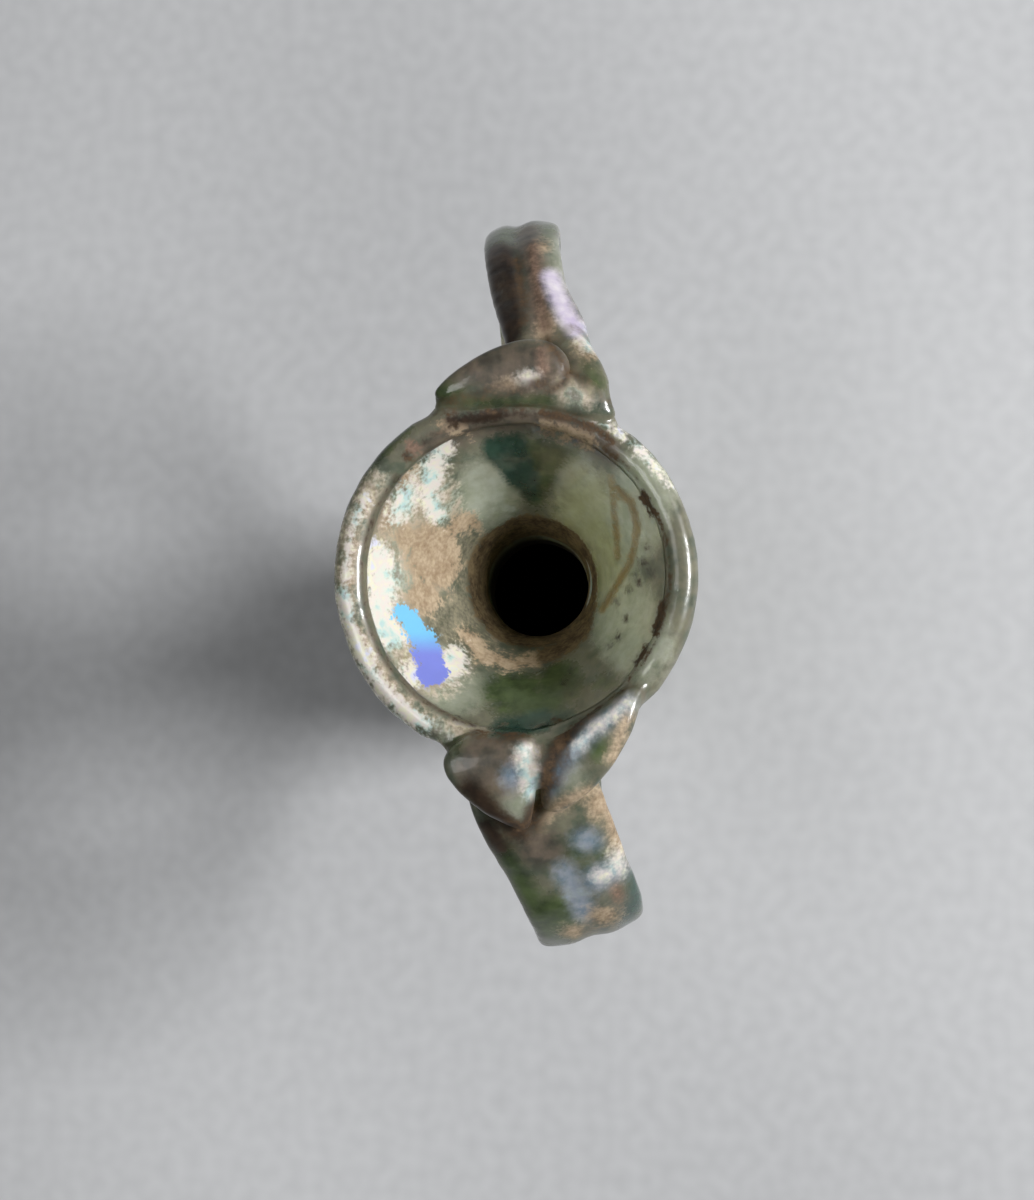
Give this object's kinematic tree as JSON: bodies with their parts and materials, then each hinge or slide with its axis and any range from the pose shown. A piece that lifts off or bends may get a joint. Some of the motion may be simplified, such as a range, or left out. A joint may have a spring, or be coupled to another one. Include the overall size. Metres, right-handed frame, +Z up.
{
  "type": "glass perfume flask",
  "caption": "Ancient blown glass perfume flask: pear-shaped body on a flat foot, narrow neck, funnel mouth with a folded rim and strap handles folded over the rim. Holds and pours scented oil.",
  "frame": {"origin": "centre of the flat underside of the foot, on the axis of the vessel", "axes": "+Z up along the vessel's axis, out of the mouth; +X towards the narrow handle, -X towards the broad handle"},
  "size_m": [0.0912, 0.0424, 0.102],
  "materials": {
    "weathered_glass": "pale green blown glass, partly clear, with pearly iridescent weathering, tan crust and brown dirt"
  },
  "bodies": {
    "root": {"flask": "weathered_glass"}
  },
  "joints": []
}
